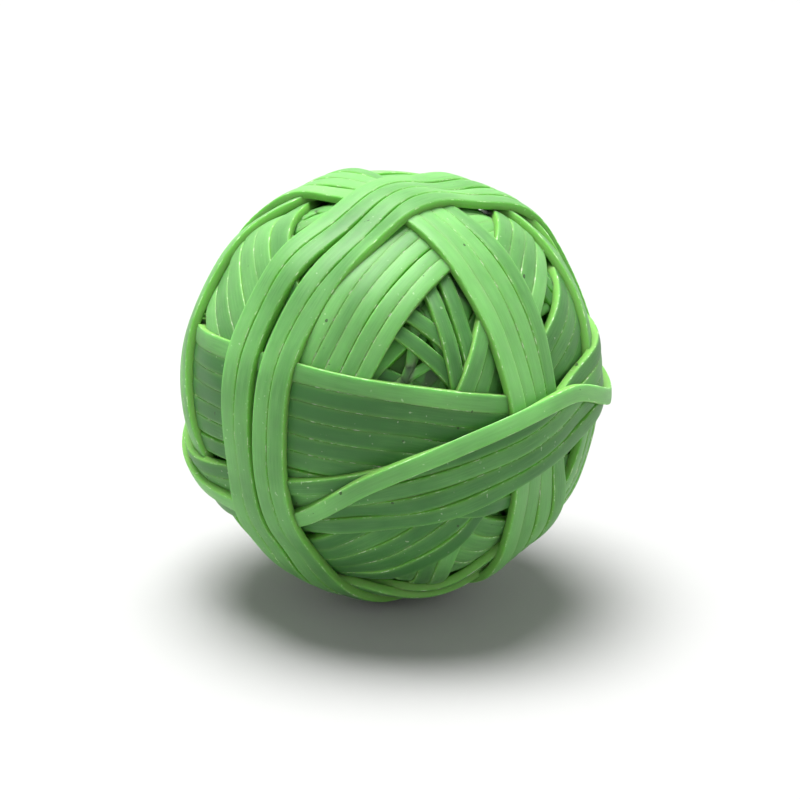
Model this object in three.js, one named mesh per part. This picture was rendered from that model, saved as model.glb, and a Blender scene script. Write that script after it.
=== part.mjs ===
// Ball of separate closed rubber bands stretched over a wound core.
// Millimetres, +Z up, the front faces -Y, the origin is the middle of the box round the ball.
import * as THREE from "three";
import { mergeVertices } from "three/addons/utils/BufferGeometryUtils.js";

const BALL_RADIUS = 24.2;        // mean height of the outside
const CORE_RADIUS = 21;          // the hidden turns, one solid, before the bands press on it
const CORE_DETAIL = 7;
const PRESS_WIDTH = 3.2;         // how far along the ball a crossing presses the core in
const GIVE = 1.25;               // share of a pile's height that the core gives way
const BAND_WIDTH = 1.5;          // along the ball
const BAND_THICKNESS = 0.7;      // away from the centre
const BRIDGE = 0.4;              // how far a band may span above what lies under it
const LIFT = 0.16;               // clear height between a band and what it lies on
const MARGIN = 0.1;              // extra half width kept clear beside each band
const STATIONS = 32;             // cross-sections round one band
const SAMPLES = 90000;           // directions that hold the height reached so far
const MEAN_RADIUS = 24;          // turns sideways millimetres into angles
const FRONT = [0, -0.95, 0.31];  // the side the bundles are laid out from

// Bundles in the order they were stretched on.
//   pole:   azimuth and elevation, in degrees, of the axis the bands run round
//   lanes:  distance of each band from the middle plane, mm along the axis
//   drift:  sideways wander, mm, at twelve equal steps round the loop
//   back:   sideways shift, mm, of the bundle on the far side of the ball
//   spread: how much further apart its bands run there, as a fraction
//   tone:   colour of the bundle
const DEEP = 0x3f7f45, MID = 0x62a862, FRESH = 0x7cc474, PALE = 0x9bd68c;
const BUNDLES = [
  { name: "deep_cross", pole: [33, 42], lanes: [2.6, 0.2], back: 4, spread: 0.3, tone: DEEP,
    drift: [0, 0, 0, 0, 0, 0.5, -0.5, 0.6, 0, 0, 0, 0] },
  { name: "deep_upright", pole: [-156, -5], lanes: [1.6, -0.6], back: -6, spread: 0.6, tone: DEEP,
    drift: [0, 0, 0, 0, -0.4, 0.5, -0.5, 0.4, 0, 0, 0, 0] },
  { name: "left_fall", pole: [-19, 39], lanes: [-7.3, -4.9, -2.4, 0.1, 2.5, 5], back: 6, spread: 0, tone: MID },
  { name: "mid_slant", pole: [-35, -15], lanes: [1.1, 2.8, 4.5, 6.3, 8], back: -6, spread: 0.4, tone: FRESH },
  { name: "right_fall", pole: [2, -21], lanes: [10.3, 8.4, 6.5, 4.6], back: -7, spread: 0.4, tone: MID,
    drift: [0, 0, 0, 0, 0, 0, 0, 0.5, 2, 2.5, 1.5, 0] },
  { name: "low_slant", pole: [21, -47], lanes: [0.3, 2.3, 4.4, 6.3, 8.4], back: -7, spread: 0.3, tone: MID,
    drift: [0, 0, 0, 1, 1.5, 1, 0, 0, 0, 0, 0, 0] },
  { name: "belt", pole: [-141, -78], lanes: [9, 6.6, 4.5, 2.5, 0.5, -1.4, -3.3], back: 8, spread: 0.4, tone: MID },
  { name: "right_rim", pole: [-107, 20], lanes: [0.5, -1.5], back: 7, spread: 0.6, tone: MID },
  { name: "rim_hoop", pole: [-79, 18], lanes: [0, 2], back: 3, spread: 0.6, tone: FRESH },
  { name: "crest", pole: [-136, -4], lanes: [3.5, 1.6, -0.4, -2.4], back: 7, spread: 0.4, tone: FRESH,
    drift: [0, 0, 0, 0, 0, 0, 0, -1, -3, -4.5, -4.5, -2.5] },
  { name: "sash", pole: [22, -74], lanes: [6, 4, 2.1, 0.2], back: -6, spread: 0.4, tone: PALE },
  { name: "sash_top", pole: [-156, 76], lanes: [0], back: 0, spread: 0, tone: PALE,
    drift: [1.5, 0.5, -5.5, -4, -2, -1, 0, -1, -2, -4, -5.5, -0.5] },
  { name: "arch_left", pole: [-47, -4.5], lanes: [-1, 1.15], back: 6.5, spread: 0.3, tone: PALE,
    drift: [0, 0.5, -0.5, 0, 0, -0.5, 0.5, 1, 0, -0.5, -0.5, 0] },
  { name: "arch_right", pole: [-47, -4.5], lanes: [4.2, 6.3], back: 8, spread: 0.3, tone: PALE,
    drift: [-0.5, -0.3, -1.2, -0.9, -0.4, -0.4, 0.3, 0.6, -0.7, -1.2, -1, -0.5] },
];

const rad = THREE.MathUtils.degToRad;

// axis and two in-plane directions of a loop, the axis given in degrees
function axes([azimuth, elevation]) {
  const flat = Math.cos(rad(elevation));
  const n = new THREE.Vector3(flat * Math.cos(rad(azimuth)), flat * Math.sin(rad(azimuth)), Math.sin(rad(elevation)));
  const a = new THREE.Vector3(0, 0, 1).cross(n).normalize();
  return { n, a, b: n.clone().cross(a) };
}

// evenly spread directions over the ball
function spreadDirections(count) {
  const turn = Math.PI * (3 - Math.sqrt(5)), list = [];
  for (let i = 0; i < count; i++) {
    const z = 1 - (2 * i + 1) / count, flat = Math.sqrt(1 - z * z);
    list.push(new THREE.Vector3(flat * Math.cos(i * turn), flat * Math.sin(i * turn), z));
  }
  return list;
}

// smooth closed curve through equally spaced values, position in turns
function wander(values, position) {
  if (!values) return 0;
  const count = values.length, u = ((position * count) % count + count) % count;
  const i = Math.floor(u), f = u - i, at = (k) => values[(i + k + count) % count];
  const p0 = at(-1), p1 = at(0), p2 = at(1), p3 = at(2);
  return 0.5 * (2 * p1 + (p2 - p0) * f + (2 * p0 - 5 * p1 + 4 * p2 - p3) * f * f + (3 * p1 - p0 - 3 * p2 + p3) * f ** 3);
}

// where along the loop it is furthest from the front, in turns, and its middle lane
function shapeOf(bundle) {
  const { a, b } = axes(bundle.pole), front = new THREE.Vector3(...FRONT);
  const far = Math.atan2(-front.dot(b), -front.dot(a)) / (2 * Math.PI);
  return { far, middle: (Math.max(...bundle.lanes) + Math.min(...bundle.lanes)) / 2 };
}

// sideways angle of a band at a position in turns round its loop
function sideAngle(bundle, lane, position) {
  const away = Math.max(0, Math.cos(2 * Math.PI * (position - bundle.shape.far))) ** 2;
  const apart = (lane - bundle.shape.middle) * bundle.spread;
  return (lane + wander(bundle.drift, position) + (bundle.back + apart) * away) / MEAN_RADIUS;
}

// stations round the loop: outward direction, sideways direction, step to the next station
function stationsOf(bundle, lane) {
  const { n, a, b } = axes(bundle.pole);
  const point = (position) => {
    const angle = 2 * Math.PI * position, side = sideAngle(bundle, lane, position);
    return new THREE.Vector3().addScaledVector(a, Math.cos(side) * Math.cos(angle))
      .addScaledVector(b, Math.cos(side) * Math.sin(angle)).addScaledVector(n, Math.sin(side));
  };
  const list = [];
  for (let j = 0; j < STATIONS; j++) {
    const out = point(j / STATIONS);
    const along = point((j + 0.1) / STATIONS).sub(point((j - 0.1) / STATIONS)).normalize();
    list.push({ out, side: out.clone().cross(along).normalize(), step: out.angleTo(point((j + 1) / STATIONS)) });
  }
  return list;
}

// ground directions under a band, with the station before each and the fraction to the next
function footprint(directions, bundle, lane) {
  const { n, a, b } = axes(bundle.pole), reach = BAND_WIDTH / 2 + MARGIN, found = [];
  directions.forEach((d, i) => {
    const side = Math.asin(d.dot(n));
    const position = (Math.atan2(d.dot(b), d.dot(a)) / (2 * Math.PI) + 1) % 1;
    if (Math.abs(side - sideAngle(bundle, lane, position)) * MEAN_RADIUS > reach) return;
    const station = position * STATIONS, j = Math.floor(station) % STATIONS;
    found.push({ i, j, f: station - Math.floor(station) });
  });
  return found;
}

// inverse radius on the straight piece between two stations
function between(u0, u1, f, step) {
  return (Math.sin((1 - f) * step) * u0 + Math.sin(f * step) * u1) / Math.sin(step);
}

const previous = (j) => (j + STATIONS - 1) % STATIONS;
const following = (j) => (j + 1) % STATIONS;

// contacts sorted by station, each with the level the band has to clear
function cellsOf(contacts, height) {
  const cells = Array.from({ length: STATIONS }, () => []);
  for (const c of contacts) cells[c.j].push({ f: c.f, level: height[c.i] + LIFT });
  return cells;
}

const highest = (cell, from, to) => Math.max(0, ...cell.filter((c) => c.f >= from && c.f <= to).map((c) => c.level));

// lowest inner radii whose straight pieces clear every contact
function clearRadii(stations, cells) {
  const peak = cells.map((cell) => highest(cell, 0, 1));
  const least = cells.map((cell, j) => Math.max(highest(cell, 0, 0.5), highest(cells[previous(j)], 0.5, 1)));
  const r = peak.map((level, j) => Math.max(level, peak[previous(j)]) / Math.cos(Math.PI / STATIONS));
  const floorAt = (j) => {
    let floor = least[j];
    const test = (cell, f, other, step) => {
      const own = Math.sin((1 - f) * step);
      if (own < 0.02 * step) return;
      const room = (Math.sin(step) / cell.level - Math.sin(f * step) / r[other]) / own;
      if (room > 0) floor = Math.max(floor, 1 / room);
    };
    for (const c of cells[j]) test(c, c.f, following(j), stations[j].step);
    for (const c of cells[previous(j)]) test(c, 1 - c.f, previous(j), stations[previous(j)].step);
    return floor;
  };
  for (let pass = 0; pass < 40; pass++) for (let j = 0; j < STATIONS; j++) r[j] = Math.min(r[j], floorAt(j));
  return r;
}

// inner radii of a stretched loop: it spans short dips and follows longer ones
function restingRadii(stations, cells) {
  const clear = clearRadii(stations, cells), taut = clear.slice();
  const straight = (j) => 2 * Math.cos((stations[j].step + stations[previous(j)].step) / 2)
    / (1 / taut[previous(j)] + 1 / taut[following(j)]);
  for (let pass = 0; pass < 60; pass++) for (let j = 0; j < STATIONS; j++) taut[j] = Math.max(taut[j], straight(j));
  const held = taut.map((v, j) => Math.min(v, clear[j] + BRIDGE));
  return held.map((v, j) => Math.max(clear[j], (held[previous(j)] + 2 * v + held[following(j)]) / 4));
}

// lay a band on the ground reached so far and raise the ground to its top
function lay(band, height) {
  const { stations, contacts } = band, radii = restingRadii(stations, cellsOf(contacts, height));
  const top = radii.map((r) => 1 / (r + BAND_THICKNESS));
  for (const { i, j, f } of contacts) height[i] = 1 / between(top[j], top[following(j)], f, stations[j].step);
  return radii;
}

// all bands with their stations and contacts, in laying order
function bandsOf(directions) {
  for (const bundle of BUNDLES) bundle.shape = shapeOf(bundle);
  return BUNDLES.flatMap((bundle) => bundle.lanes.map((lane, k) => ({
    name: `${bundle.name}_${k + 1}`, tone: bundle.tone,
    stations: stationsOf(bundle, lane), contacts: footprint(directions, bundle, lane),
  })));
}

// how far the core is pressed in, as a smooth function of direction
function pressFrom(directions, height, centres) {
  const sharpness = (MEAN_RADIUS / PRESS_WIDTH) ** 2;
  const blend = (d, points, values) => {
    let sum = 0, weight = 0;
    for (let k = 0; k < points.length; k++) {
      const near = d.dot(points[k]);
      if (near < 0.7) continue;
      const w = Math.exp(sharpness * (near - 1));
      sum += w * values[k];
      weight += w;
    }
    return sum / weight;
  };
  const thin = directions.filter((_, i) => i % 6 === 0), excess = [];
  for (let i = 0; i < directions.length; i += 6) excess.push(GIVE * (height[i] - BALL_RADIUS));
  const values = centres.map((c) => blend(c, thin, excess));
  return (d) => blend(d, centres, values);
}

// the band as one closed ring, its section a little narrower at the bottom
function ringGeometry(stations, radii) {
  const points = [], faces = [];
  stations.forEach(({ out, side }, j) => {
    for (const [across, up] of [[-1, 0], [1, 0], [1, 1], [-1, 1]]) {
      const p = out.clone().addScaledVector(side, across * BAND_WIDTH / 2 / MEAN_RADIUS);
      p.multiplyScalar(radii[j] + up * BAND_THICKNESS);
      points.push(p.x, p.y, p.z);
    }
    const here = j * 4, there = following(j) * 4;
    for (let c = 0; c < 4; c++) {
      const d = (c + 1) % 4;
      faces.push(here + c, here + d, there + d, here + c, there + d, there + c);
    }
  });
  const geometry = new THREE.BufferGeometry();
  geometry.setAttribute("position", new THREE.Float32BufferAttribute(points, 3));
  geometry.setIndex(faces);
  return geometry;
}

// ball of even triangles at the core radius
function coreGeometry() {
  const ball = new THREE.IcosahedronGeometry(CORE_RADIUS, CORE_DETAIL);
  ball.deleteAttribute("normal");
  ball.deleteAttribute("uv");
  return mergeVertices(ball, 1e-4);
}

const vertices = (geometry) => Array.from({ length: geometry.attributes.position.count },
  (_, i) => new THREE.Vector3().fromBufferAttribute(geometry.attributes.position, i).normalize());

function addMesh(group, name, geometry, color) {
  geometry.computeVertexNormals();
  const mesh = new THREE.Mesh(geometry, new THREE.MeshStandardMaterial({ color, roughness: 0.5, metalness: 0 }));
  mesh.name = name;
  group.add(mesh);
}

const ball = new THREE.Group();
ball.name = "rubber_band_ball";
const directions = spreadDirections(SAMPLES), bands = bandsOf(directions);

// first on a stiff core, to learn where the bands pile up
const stiff = new Float64Array(SAMPLES).fill(CORE_RADIUS);
for (const band of bands) lay(band, stiff);

// then with the core pressed in under the piles
const core = coreGeometry(), coreDirections = vertices(core);
const press = pressFrom(directions, stiff, coreDirections);
coreDirections.forEach((d, i) => {
  const p = d.clone().multiplyScalar(CORE_RADIUS - press(d));
  core.attributes.position.setXYZ(i, p.x, p.y, p.z);
});
addMesh(ball, "inner_winding", core, DEEP);
const height = Float64Array.from(directions, (d) => CORE_RADIUS - press(d));
for (const band of bands) addMesh(ball, band.name, ringGeometry(band.stations, lay(band, height)), band.tone);

// put the middle of the whole at the origin
const middle = new THREE.Box3().setFromObject(ball).getCenter(new THREE.Vector3());
for (const mesh of ball.children) mesh.geometry.translate(-middle.x, -middle.y, -middle.z);

export default ball;
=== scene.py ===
"""A ball of green rubber bands, stretched one over another round wound turns.

The layout below is in millimetres and the objects are in metres. Every band is a closed loop: it is laid on
what the earlier ones have built up, spans the dips a little, and raises the ground for the next.
"""
import math

import bmesh
import bpy
import numpy as np
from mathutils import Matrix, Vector


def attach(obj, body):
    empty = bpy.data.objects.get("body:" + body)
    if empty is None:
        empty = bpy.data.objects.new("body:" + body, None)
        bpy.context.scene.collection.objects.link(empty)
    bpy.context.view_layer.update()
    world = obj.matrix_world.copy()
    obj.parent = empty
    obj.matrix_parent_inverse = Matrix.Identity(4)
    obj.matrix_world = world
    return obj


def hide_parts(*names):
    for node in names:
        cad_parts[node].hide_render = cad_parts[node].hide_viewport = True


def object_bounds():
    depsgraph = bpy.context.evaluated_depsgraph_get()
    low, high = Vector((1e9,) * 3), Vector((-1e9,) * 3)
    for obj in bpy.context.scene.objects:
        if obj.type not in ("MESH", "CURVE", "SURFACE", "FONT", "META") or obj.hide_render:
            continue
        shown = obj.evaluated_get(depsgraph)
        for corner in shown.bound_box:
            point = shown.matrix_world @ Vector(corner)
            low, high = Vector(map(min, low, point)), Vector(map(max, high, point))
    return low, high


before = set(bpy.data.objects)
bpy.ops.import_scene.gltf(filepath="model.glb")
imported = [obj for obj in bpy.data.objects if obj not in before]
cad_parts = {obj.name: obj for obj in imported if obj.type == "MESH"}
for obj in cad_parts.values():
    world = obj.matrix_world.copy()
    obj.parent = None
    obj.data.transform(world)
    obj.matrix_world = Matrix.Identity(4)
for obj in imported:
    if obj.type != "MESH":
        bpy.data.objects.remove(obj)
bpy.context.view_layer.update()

MM = 0.001
BALL_CENTRE = np.array([-0.05, 0.35, 0.36])   # middle of the loops in the frame, mm
BALL_RADIUS = 24.2               # what the wound turns give way to keep: the usual height of the outside
CORE_RADIUS = 21.0               # wound turns, before the outer bands press on them
MEAN_RADIUS = 24.0               # turns sideways millimetres into angles
PRESS_WIDTH = 3.2                # how far along the ball a crossing presses the turns in
GIVE = 1.25                      # how far they give way, for each millimetre of pile over the usual height
LAYER = 0.86                     # height that each outer band adds
TURN_LAYER = 0.4                 # height that each wound turn adds
HALF_WIDTH = 1.0                 # half width of a band that lies alone
NARROW = 0.55                    # half width of the narrow turns inside
THICKNESS = 1.05                 # more than a layer, as a band's lower part sinks into what lies below it
EDGE_RADIUS = 0.16               # rounding of a band's outer edges
OVERLAP = 0.02                   # how far neighbours in a bundle reach into each other
LAP = 0.12                       # strip along each edge that isn't counted as resting on the ground
TILT = 0.45                      # steepest sideways lean of a band, as a slope
TURNS_SEEN = 46                  # strips that stand for the turns inside
TURNS_DEPTH = 1.5                # where the first of them lie, below the outer bands' ground
HEART_DEPTH = 1.7                # where the heart's surface is, below the same ground
STATIONS = 300                   # cross-sections round one band
TURN_STEP = 3                    # the turns inside keep one cross-section in three
SETTLE = 46                      # how far a band keeps its height past what it crosses, in smoothing steps
ROUNDING = 50                    # steps that round its bends
SAMPLES = 170000    # directions in which the ground's height is kept
FRONT = np.array([0, -0.95, 0.31])           # the layout's lanes hold on this side, and shift on the other
TURN = 2 * math.pi
rng = np.random.default_rng(51)

# Rubber colours, outer bands and then inner turns: the dark and pale ends of a tone scale, which is random
# tone and also painted shade and painted light, and the cut sides, painted yellow-green as a glow of light
# coming through; and what lies on it.
DARK_TONE_AND_SHADE_GREEN, PALE_TONE_AND_LIGHT_GREEN, CUT_GLOW_GREEN = (0.044, 0.165, 0.036), (0.215, 0.53, 0.155), (0.195, 0.47, 0.085)
# the inner colours are darker than the outer ones: painted shade for the gaps the turns show through
INNER_DARK_TONE_AND_SHADE, INNER_PALE_TONE_SHADED, INNER_CUT_GLOW_SHADED = (0.05, 0.19, 0.04), (0.13, 0.39, 0.09), (0.12, 0.36, 0.04)
TALC, DIRT = (0.66, 0.78, 0.56), (0.03, 0.05, 0.02)

# Bundles in the order they were stretched on. pole: azimuth and elevation of the axis the bands run round;
# lanes: sideways place of each band; back and spread: sideways shift, and further spacing, on the far side;
# tone: 0 for the darkest rubber, 1 for the palest, set low for the lower and deeper bundles and high for the
# top ones as painted shade and painted light; last: how much paler the last band is;
# drift: sideways wander at twelve steps round.
BUNDLES = [
    dict(name="deep_cross", pole=(33, 42), lanes=(2.6, 0.2), back=4, spread=0.3, tone=0.15, half_width=0.85,
         drift=(0, 0, 0, 0, 0, 0.5, -0.5, 0.6, 0, 0, 0, 0)),
    dict(name="deep_upright", pole=(-156, -5), lanes=(1.6, -0.6), back=-6, spread=0.6, tone=0.25,
         half_width=0.85, drift=(0, 0, 0, 0, -0.4, 0.5, -0.5, 0.4, 0, 0, 0, 0)),
    dict(name="left_fall", pole=(-19, 39), lanes=(-7.3, -4.9, -2.4, 0.1, 2.5, 5), back=6, spread=0, tone=0.5),
    dict(name="mid_slant", pole=(-35, -15), lanes=(1.1, 2.8, 4.5, 6.3, 8), back=-6, spread=0.4, tone=0.5),
    dict(name="right_fall", pole=(2, -21), lanes=(10.3, 8.4, 6.5, 4.6), back=-7, spread=0.4, tone=0.4,
         drift=(0, 0, 0, 0, 0, 0, 0, 0.5, 2, 2.5, 1.5, 0)),
    dict(name="low_slant", pole=(21, -47), lanes=(0.3, 2.3, 4.4, 6.3, 8.4), back=-7, spread=0.3, tone=0.1,
         drift=(0, 0, 0, 1, 1.5, 1, 0, 0, 0, 0, 0, 0)),
    dict(name="belt", pole=(-141, -78), lanes=(9, 6.6, 4.5, 2.5, 0.5, -1.4, -3.3), back=8, spread=0.4,
         tone=0.0, last=0.35),
    dict(name="right_rim", pole=(-107, 20), lanes=(0.5, -1.5), back=7, spread=0.6, tone=0.4),
    dict(name="rim_hoop", pole=(-79, 18), lanes=(0, 2), back=3, spread=0.6, tone=0.6),
    dict(name="crest", pole=(-136, -4), lanes=(3.5, 1.6, -0.4, -2.4), back=7, spread=0.4, tone=0.55,
         drift=(0, 0, 0, 0, 0, 0, 0, -1, -3, -4.5, -4.5, -2.5)),
    dict(name="sash", pole=(22, -74), lanes=(6, 4, 2.1, 0.2), back=-6, spread=0.4, tone=0.1),
    dict(name="sash_top", pole=(-156, 76), lanes=(0,), back=0, spread=0, tone=0.6,
         drift=(1.5, 0.5, -5.5, -4, -2, -1, 0, -1, -2, -4, -5.5, -0.5)),
    dict(name="arch_left", pole=(-47, -4.5), lanes=(-1, 1.15), back=6.5, spread=0.3, tone=0.55,
         drift=(0, 0.5, -0.5, 0, 0, -0.5, 0.5, 1, 0, -0.5, -0.5, 0)),
    dict(name="arch_right", pole=(-47, -4.5), lanes=(4.2, 6.3), back=8, spread=0.3, tone=0.6,
         drift=(-0.5, -0.3, -1.2, -0.9, -0.4, -0.4, 0.3, 0.6, -0.7, -1.2, -1, -0.5)),
]


# ---- where the loops run ---------------------------------------------------------------------------------

def axes(pole):
    """Axis of a loop and two directions in its plane."""
    azimuth, elevation = np.radians(pole)
    n = np.array([math.cos(elevation) * math.cos(azimuth), math.cos(elevation) * math.sin(azimuth),
                  math.sin(elevation)])
    a = np.cross((0, 0, 1), n)
    a /= np.linalg.norm(a)
    return n, a, np.cross(n, a)


def spread_directions(count):
    """Evenly spread directions over the ball."""
    i = np.arange(count)
    z = 1 - (2 * i + 1) / count
    flat, angle = np.sqrt(1 - z * z), i * math.pi * (3 - math.sqrt(5))
    return np.stack([flat * np.cos(angle), flat * np.sin(angle), z], axis=1)


def wander(values, position):
    """Smooth closed curve through equally spaced values, position in turns."""
    values, count = np.asarray(values, float), len(values)
    u = position % 1 * count
    i = np.floor(u).astype(int)
    f = u - i
    p0, p1, p2, p3 = (values[(i + k) % count] for k in (-1, 0, 1, 2))
    return 0.5 * (2 * p1 + (p2 - p0) * f + (2 * p0 - 5 * p1 + 4 * p2 - p3) * f ** 2
                  + (3 * p1 - p0 - 3 * p2 + p3) * f ** 3)


def ripple(size, waves):
    """Random smooth closed curve: twenty-four values that wander follows."""
    steps = np.arange(24) / 24 * TURN
    total = sum(rng.normal() * np.cos(k * steps + rng.uniform(0, TURN)) for k in range(1, waves + 1))
    return size * total / math.sqrt(waves)


class Loop:
    """One band: the path it follows round the ball and what it rests on."""

    def __init__(self, pole, lane, back=0.0, apart=0.0, drift=(0, 0, 0, 0), half_width=HALF_WIDTH,
                 unevenness=0.05):
        self.n, self.a, self.b = axes(pole)
        self.half_width = half_width
        self.lane, self.back, self.drift = lane, back + apart, drift
        self.far = math.atan2(-FRONT @ self.b, -FRONT @ self.a) / TURN
        self.sway = ripple(unevenness, 7)
        self.girth, self.heave = ripple(0.035, 9), ripple(0.03, 9)

    def side_angle(self, position):
        away = np.maximum(0, np.cos(TURN * (position - self.far))) ** 2
        lean = wander(self.drift, position) + wander(self.sway, position)
        return (self.lane + lean + self.back * away) / MEAN_RADIUS

    def point(self, position):
        angle, side = TURN * position, self.side_angle(position)
        return (np.outer(np.cos(side) * np.cos(angle), self.a)
                + np.outer(np.cos(side) * np.sin(angle), self.b) + np.outer(np.sin(side), self.n))

    def touch(self, directions):
        """Finds the ground directions under the band, and where along and across it they are."""
        side = np.arcsin(np.clip(directions @ self.n, -1, 1))
        position = np.arctan2(directions @ self.b, directions @ self.a) / TURN % 1
        across = (side - self.side_angle(position)) * MEAN_RADIUS
        self.under = np.flatnonzero(np.abs(across) < self.half_width - LAP)
        self.across = across[self.under]
        station = position[self.under] * STATIONS
        self.station = np.floor(station).astype(int) % STATIONS
        self.part = station - np.floor(station)

    def rest(self, height, layer=LAYER):
        """Lies down on the ground reached so far and raises it. Keeps the height of its outer face."""
        sides = []
        for side in (-1, 1):
            near = self.across * side > -0.3       # this side and a little past the middle
            clear = np.zeros(STATIONS)
            for station in (self.station[near], (self.station[near] + 1) % STATIONS):
                np.maximum.at(clear, station, height[self.under[near]])
            sides.append(stretch(clear))
        self.roll = smooth(np.clip(sides[1] - sides[0], -TILT, TILT), 10)
        self.top = smooth(np.mean(sides, axis=0) + layer, 4)
        following = (self.station + 1) % STATIONS
        reached = (self.top[self.station] * (1 - self.part) + self.top[following] * self.part
                   + self.roll[self.station] * self.across)
        height[self.under] = np.maximum(height[self.under], reached)


def smooth(values, times=1):
    for _ in range(times):
        values = (np.roll(values, 1) + 2 * values + np.roll(values, -1)) / 4
    return values


def stretch(clear):
    """Height at which a taut band lies: held up by what it crosses, and coming down slowly past it."""
    held = clear
    for _ in range(SETTLE):
        held = np.maximum(clear, smooth(held))
    held = smooth(held, ROUNDING)
    return held + 0.6 * smooth(np.maximum(0, clear - held), ROUNDING)


def loops_of(bundle):
    lanes = bundle["lanes"]
    middle = (max(lanes) + min(lanes)) / 2
    spacing = (max(lanes) - min(lanes)) / (len(lanes) - 1) if len(lanes) > 1 else 2 * HALF_WIDTH
    return [Loop(bundle["pole"], lane, bundle["back"], (lane - middle) * bundle["spread"],
                 bundle.get("drift", (0, 0, 0, 0)), bundle.get("half_width", spacing / 2 + OVERLAP))
            for lane in lanes]


def blend(targets, points, values, sharpness):
    """Values given at points, spread smoothly to the target directions."""
    out = np.empty(len(targets))
    for start in range(0, len(targets), 8000):
        weight = np.exp(sharpness * (targets[start:start + 8000].astype(np.float32) @ points.T - 1))
        out[start:start + 8000] = weight @ values / weight.sum(axis=1)
    return out


class Press:
    """How far the wound turns are pressed in, as a smooth function of direction."""

    def __init__(self, directions, height):
        self.sharpness = np.float32((MEAN_RADIUS / PRESS_WIDTH) ** 2)
        self.centres = spread_directions(1500).astype(np.float32)
        thin = slice(None, None, 12)               # one direction in twelve is enough for this
        excess = (GIVE * (height[thin] - BALL_RADIUS)).astype(np.float32)
        self.values = blend(self.centres, directions[thin].astype(np.float32), excess,
                            self.sharpness).astype(np.float32)

    def at(self, directions):
        return blend(directions, self.centres, self.values, self.sharpness)


# ---- meshes ----------------------------------------------------------------------------------------------

def section(half_width, thickness):
    """Outline of a band's section, across and up, and how far each of its points is past the edge."""
    r = EDGE_RADIUS
    turn = [(half_width - r * (1 - math.sin(t)), -r * (1 - math.cos(t))) for t in np.radians((8, 30, 52, 80))]
    right = [(0, 0.07), (0.35 * half_width, 0.06), (0.7 * half_width, 0.03)] + turn
    right += [(half_width - 0.03, -0.5 * thickness), (half_width, -thickness + 0.1)]
    right += [(half_width - 0.12, -thickness)]
    left = [(-x, y) for x, y in right[1:]][::-1]
    outline = left + right
    lengths = np.concatenate([[0], np.cumsum([math.dist(p, q) for p, q in zip(outline, outline[1:])])])
    from_middle = np.abs(lengths - lengths[len(left)])
    return np.array(outline), from_middle - half_width


def ribbon(loop, tone, step=1):
    """Points, faces, place on the band and tone of one closed band.

    The place is a point on a circle for the way along the band, and the distance past its edge.
    """
    outline, round_it = section(loop.half_width, THICKNESS)
    kept = np.arange(0, STATIONS, step)
    position = kept / STATIONS
    out = loop.point(position)
    along = loop.point(position + 0.2 / STATIONS) - loop.point(position - 0.2 / STATIONS)
    along /= np.linalg.norm(along, axis=1)[:, None]
    side = np.cross(out, along)
    side /= np.linalg.norm(side, axis=1)[:, None]
    side *= np.sign(np.sum(side * loop.n, axis=1))[:, None]
    side = side + out * loop.roll[kept, None]
    side /= np.linalg.norm(side, axis=1)[:, None]
    up = out - side * np.sum(out * side, axis=1)[:, None]
    up /= np.linalg.norm(up, axis=1)[:, None]
    width = 1 + wander(loop.girth, position)
    top = loop.top[kept] + wander(loop.heave, position)
    points = (out * top[:, None])[:, None, :] + (side * width[:, None])[:, None, :] * outline[None, :, :1] \
        + up[:, None, :] * outline[None, :, 1:]
    count, stations = len(outline), len(kept)
    j, c = np.meshgrid(np.arange(stations), np.arange(count), indexing="ij")
    k, d = (j + 1) % stations, (c + 1) % count
    faces = np.stack([j * count + c, j * count + d, k * count + d, k * count + c], axis=-1).reshape(-1, 4)
    angle = TURN * position
    lie = np.stack([np.repeat(MEAN_RADIUS * np.cos(angle), count),
                    np.repeat(MEAN_RADIUS * np.sin(angle), count), np.tile(round_it, stations)], axis=1)
    return points.reshape(-1, 3), faces, lie, np.full(stations * count, tone)


def closed_piece(name, parts, material, node):
    """One object from several sets of points and faces, standing for a CAD node."""
    points = np.concatenate([p for p, _, _, _ in parts])
    starts = np.cumsum([0] + [len(p) for p, _, _, _ in parts])
    faces = [f + start for (_, f, _, _), start in zip(parts, starts)]
    mesh = bpy.data.meshes.new(name)
    mesh.from_pydata(((points + BALL_CENTRE) * MM).tolist(), [], [row for f in faces for row in f.tolist()])
    lie = mesh.attributes.new("lie", "FLOAT_VECTOR", "POINT")
    lie.data.foreach_set("vector", np.concatenate([q for _, _, q, _ in parts]).astype(np.float32).ravel())
    tone = mesh.attributes.new("tone", "FLOAT", "POINT")
    tone.data.foreach_set("value", np.concatenate([t for _, _, _, t in parts]).astype(np.float32))
    mesh.polygons.foreach_set("use_smooth", [True] * len(mesh.polygons))
    mesh.materials.append(material)
    piece = bpy.data.objects.new(name, mesh)
    bpy.context.collection.objects.link(piece)
    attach(piece, "root")
    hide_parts(node)
    return piece


# ---- materials -------------------------------------------------------------------------------------------

class Socket:
    """An output of a node, with Python's arithmetic for its value."""

    def __init__(self, sheet, output):
        self.sheet, self.output = sheet, output

    def math(self, operation, *values):
        inputs = dict(enumerate((self,) + values))
        return self.sheet.add("ShaderNodeMath", {"operation": operation}, inputs)

    def __add__(self, other):
        return self.math("ADD", other)

    def __sub__(self, other):
        return self.math("SUBTRACT", other)

    def __mul__(self, other):
        return self.math("MULTIPLY", other)

    def __rsub__(self, other):
        return self.sheet.add("ShaderNodeMath", {"operation": "SUBTRACT"}, {0: other, 1: self})

    __radd__, __rmul__ = __add__, __mul__

    def rise(self, low, high):
        """0 below low, 1 above high, and smooth between."""
        settings = {"interpolation_type": "SMOOTHSTEP"}
        return self.sheet.add("ShaderNodeMapRange", settings, {0: self, 1: low, 2: high, 3: 0.0, 4: 1.0})


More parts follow.
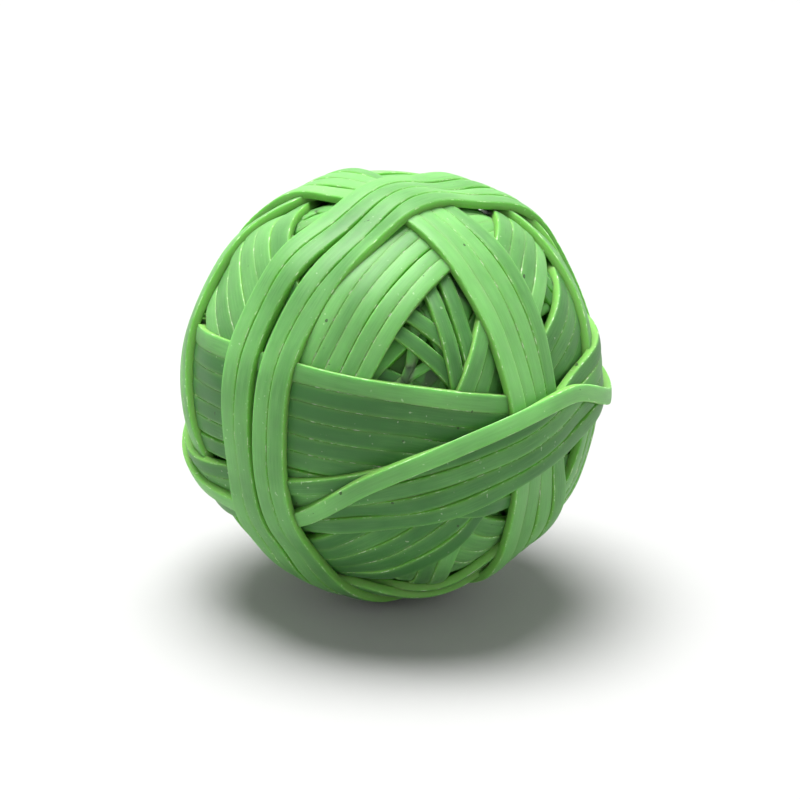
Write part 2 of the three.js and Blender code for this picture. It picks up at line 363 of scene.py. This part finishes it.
class Finish:
    """A material being made: its nodes and links."""

    def __init__(self, name):
        self.material = bpy.data.materials.new(name)
        self.material.use_nodes = True
        self.tree = self.material.node_tree
        self.tree.nodes.clear()

    def add(self, kind, settings=None, inputs=None, output=0):
        node = self.tree.nodes.new(kind)
        for key, value in (settings or {}).items():
            setattr(node, key, value)
        for key, value in (inputs or {}).items():
            if isinstance(value, Socket):
                self.tree.links.new(value.output, node.inputs[key])
            else:
                node.inputs[key].default_value = value
        return Socket(self, node.outputs[output]) if len(node.outputs) else None

    def mix(self, amount, first, second):
        return self.add("ShaderNodeMix", {"data_type": "RGBA"}, {0: amount, 6: first, 7: second}, output=2)

    def noise(self, vector, scale, detail=2.0, roughness=0.5):
        inputs = {"Vector": vector, "Scale": scale, "Detail": detail, "Roughness": roughness}
        return self.add("ShaderNodeTexNoise", {}, inputs)

    def attribute(self, name, output):
        return self.add("ShaderNodeAttribute", {"attribute_name": name}, output=output)


def colour(rgb):
    return (*rgb, 1.0)


def rubber(name, dark_tone_and_shade, pale_tone_and_light, wall, dusty):
    """Green rubber, dark to pale by tone (random tone, and painted shade and light by bundle): milky outer
    face, cut walls painted yellow-green as a glow of light coming through, talc in the seams.
    """
    f = Finish(name)
    lie, tone = f.attribute("lie", 1), f.attribute("tone", 2)
    spot = f.add("ShaderNodeTexCoord", output=3)
    past_edge = f.add("ShaderNodeSeparateXYZ", {}, {0: lie}, 2)
    streak_place = f.add("ShaderNodeVectorMath", {"operation": "MULTIPLY"}, {0: lie, 1: (0.25, 0.25, 4.0)})
    streaks = f.noise(streak_place, 1.0, 3.0)
    clouds = f.noise(spot, 150.0, 3.0)
    milk = f.noise(spot, 45.0, 2.0)
    grain = f.noise(spot, 2600.0, 2.0)
    # painted glow: light coming through the thin cut walls, spread a little onto the face by the edges
    glow_on_wall = past_edge.rise(-0.12, 0.14) * 0.75 + past_edge.rise(-0.6, 0.0) * 0.25
    seam = past_edge.rise(-0.10, -0.04) * (1 - past_edge.rise(0.0, 0.08))
    dash_place = f.add("ShaderNodeVectorMath", {"operation": "MULTIPLY"}, {0: lie, 1: (0.8, 0.8, 3.0)})
    broken = f.noise(dash_place, 1.0, 5.0, 0.75)
    talc = seam * broken.rise(0.50, 0.68) * dusty
    specks = f.noise(spot, 2300.0, 0.0).rise(0.79, 0.83) * 0.35 * clouds.rise(0.45, 0.6)
    grit = f.noise(spot, 1300.0, 0.0).rise(0.872, 0.885)
    # tone brings painted shade and painted light by bundle and random tone by band; the noises add random
    # tone
    shade = tone + (clouds - 0.5) * 0.6 + (milk - 0.5) * 0.7 + (streaks - 0.5) * 0.4
    face = f.mix(shade.rise(-0.2, 1.1), colour(dark_tone_and_shade), colour(pale_tone_and_light))
    body = f.mix(glow_on_wall * 0.85, face, colour(wall))
    dusted = f.mix((talc + specks).math("MINIMUM", 0.7), body, colour(TALC))
    dusted = f.mix(grit * 0.8, dusted, colour(DIRT))
    roughness = 0.38 + 0.18 * clouds + 0.10 * streaks + 0.3 * talc
    relief = grain * 0.2 + streaks * 0.5 + broken * seam * 0.8
    bump = f.add("ShaderNodeBump", {}, {"Strength": 0.35, "Distance": 0.00008, "Height": relief}, 0)
    skin = f.add("ShaderNodeBsdfPrincipled", {}, {
        "Base Color": dusted, "Roughness": roughness, "Normal": bump, "Subsurface Weight": 0.85,
        "Subsurface Radius": (0.45, 1.0, 0.35), "Subsurface Scale": 0.0014, "IOR": 1.5,
        "Specular IOR Level": 0.35})
    f.add("ShaderNodeOutputMaterial", {}, {"Surface": skin})
    return f.material


def floor_paint():
    """Pale floor, paler still where the wall rises."""
    f = Finish("pale_floor")
    spot = f.add("ShaderNodeTexCoord", output=3)
    height = f.add("ShaderNodeSeparateXYZ", {}, {0: spot}, 2)
    ground = f.mix(f.noise(spot, 4.0), colour((0.43, 0.43, 0.43)), colour((0.45, 0.45, 0.445)))
    tint = f.mix(height.rise(0.0, 0.5), ground, colour((0.9, 0.9, 0.9)))
    skin = f.add("ShaderNodeBsdfPrincipled", {}, {"Base Color": tint, "Roughness": 0.9})
    f.add("ShaderNodeOutputMaterial", {}, {"Surface": skin})
    return f.material


# ---- the ball --------------------------------------------------------------------------------------------

def wound_turns(directions, ground, press):
    """The turns inside, seen in the gaps and coloured darker as painted shade: closed strips under the outer
    bands, over a heart painted darkest as shade.
    """
    low = ground - TURNS_DEPTH
    parts = [heart(press)]
    for _ in range(TURNS_SEEN):
        narrow = rng.uniform() < 0.25
        pole = (rng.uniform(-180, 180), math.degrees(math.asin(rng.uniform(-1, 1))))
        loop = Loop(pole, rng.uniform(-6, 6), half_width=NARROW if narrow else HALF_WIDTH, unevenness=0.4)
        loop.touch(directions)
        loop.rest(low, TURN_LAYER)
        cap = np.full(STATIONS, np.inf)
        np.minimum.at(cap, loop.station, ground[loop.under])
        loop.top = smooth(np.minimum(loop.top, cap + 0.1), 6)
        np.minimum(low, ground, out=low)
        parts.append(ribbon(loop, rng.uniform(0, 1), TURN_STEP))
    return parts


def heart(press):
    """Closed ball of even faces under the turns."""
    shape = bmesh.new()
    bmesh.ops.create_icosphere(shape, subdivisions=5, radius=1)
    points = np.array([v.co[:] for v in shape.verts])
    faces = np.array([[v.index for v in face.verts] for face in shape.faces])
    shape.free()
    points /= np.linalg.norm(points, axis=1)[:, None]
    radius = CORE_RADIUS - HEART_DEPTH - press.at(points)
    # tone 0: the darkest inner colour, painted shade deep in the gaps
    return points * radius[:, None], faces, np.zeros_like(points), np.zeros(len(points))


def build_ball():
    """Lays every band on stiff turns, to find how far they give way, and then again on the pressed ones."""
    directions = spread_directions(SAMPLES)
    bands = [(bundle, k, loop) for bundle in BUNDLES for k, loop in enumerate(loops_of(bundle), 1)]
    stiff = np.full(SAMPLES, CORE_RADIUS)
    for _, _, loop in bands:
        loop.touch(directions)
        loop.rest(stiff)
    press = Press(directions, stiff)
    ground = CORE_RADIUS - press.at(directions)
    band_rubber = rubber("green_band_rubber", DARK_TONE_AND_SHADE_GREEN, PALE_TONE_AND_LIGHT_GREEN, CUT_GLOW_GREEN, 1.0)
    # the turns inside get darker colours than the outer bands: painted shade in the gaps
    turn_rubber = rubber("shade_darkened_turn_rubber", INNER_DARK_TONE_AND_SHADE, INNER_PALE_TONE_SHADED, INNER_CUT_GLOW_SHADED, 0.25)
    turns = wound_turns(directions, ground, press)
    closed_piece("wound_turns", turns, turn_rubber, "inner_winding")
    for bundle, k, loop in bands:
        loop.rest(ground)
        paler = bundle.get("last", 0) if k == len(bundle["lanes"]) else 0
        # the bundle's tone is painted shade and painted light by where it lies; the random part is random
        # tone per band
        tone = bundle["tone"] + rng.uniform(-0.2, 0.2) + paler
        name = f"{bundle['name']}_{k}"
        closed_piece(f"{name}_band", [ribbon(loop, tone)], band_rubber, name)


# ---- surroundings ----------------------------------------------------------------------------------------

def bowl(lowest):
    """Round floor that curves up into a wall, so that every side has the same pale surroundings."""
    flat, bend, rim = 1.0, 0.6, 1.4
    profile = [(0.0, 0.0), (0.3, 0.0), (flat, 0.0)]
    for t in np.linspace(0.1, math.pi / 2, 12):
        profile.append((flat + bend * math.sin(t), bend * (1 - math.cos(t))))
    profile += [(flat + bend, rim)]
    around, count = 72, len(profile)
    points = [(r * math.cos(i / around * TURN), r * math.sin(i / around * TURN), lowest + z)
              for i in range(around) for r, z in profile]
    ways = [(i * count, (i + 1) % around * count) for i in range(around)]
    faces = [(i + k, j + k, j + k + 1, i + k + 1) for i, j in ways for k in range(count - 1)]
    mesh = bpy.data.meshes.new("bowl")
    mesh.from_pydata(points, [], faces)
    mesh.polygons.foreach_set("use_smooth", [True] * len(mesh.polygons))
    mesh.materials.append(floor_paint())
    piece = bpy.data.objects.new("bowl", mesh)
    bpy.context.collection.objects.link(piece)


def look(obj, place, target):
    obj.location = place
    obj.rotation_euler = (Vector(target) - Vector(place)).to_track_quat("-Z", "Y").to_euler()


def soft_light(name, place, size, power):
    lamp = bpy.data.lights.new(name, "AREA")
    lamp.shape, lamp.size, lamp.energy = "DISK", size, power
    obj = bpy.data.objects.new(name, lamp)
    bpy.context.collection.objects.link(obj)
    look(obj, place, (0, 0, 0))


def surroundings():
    """A soft lamp high above the ball, and a faint even light from the room."""
    world = bpy.data.worlds.new("soft_room")
    world.use_nodes = True
    world.node_tree.nodes["Background"].inputs["Color"].default_value = (1, 1, 1, 1)
    world.node_tree.nodes["Background"].inputs["Strength"].default_value = 0.15
    bpy.context.scene.world = world
    bpy.context.scene.view_settings.view_transform = "Standard"
    soft_light("overhead", (-0.12, 0.17, 1.30), 1.0, 39.5)


def camera():
    """A long lens, eighteen degrees above the ball's middle and aimed a little to the right and low."""
    lens = bpy.data.cameras.new("camera")
    lens.lens, lens.sensor_width = 132.6, 36.0
    obj = bpy.data.objects.new("camera", lens)
    bpy.context.collection.objects.link(obj)
    distance, elevation = 0.350, math.radians(18)
    middle = Vector(BALL_CENTRE * MM)
    place = middle + Vector((0, -distance * math.cos(elevation), distance * math.sin(elevation)))
    right, up = Vector((1, 0, 0)), Vector((0, math.sin(elevation), math.cos(elevation)))
    look(obj, place, middle + 0.00095 * right - 0.00202 * up)
    bpy.context.scene.camera = obj


build_ball()
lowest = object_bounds()[0][2]
surroundings()
bowl(lowest)
camera()
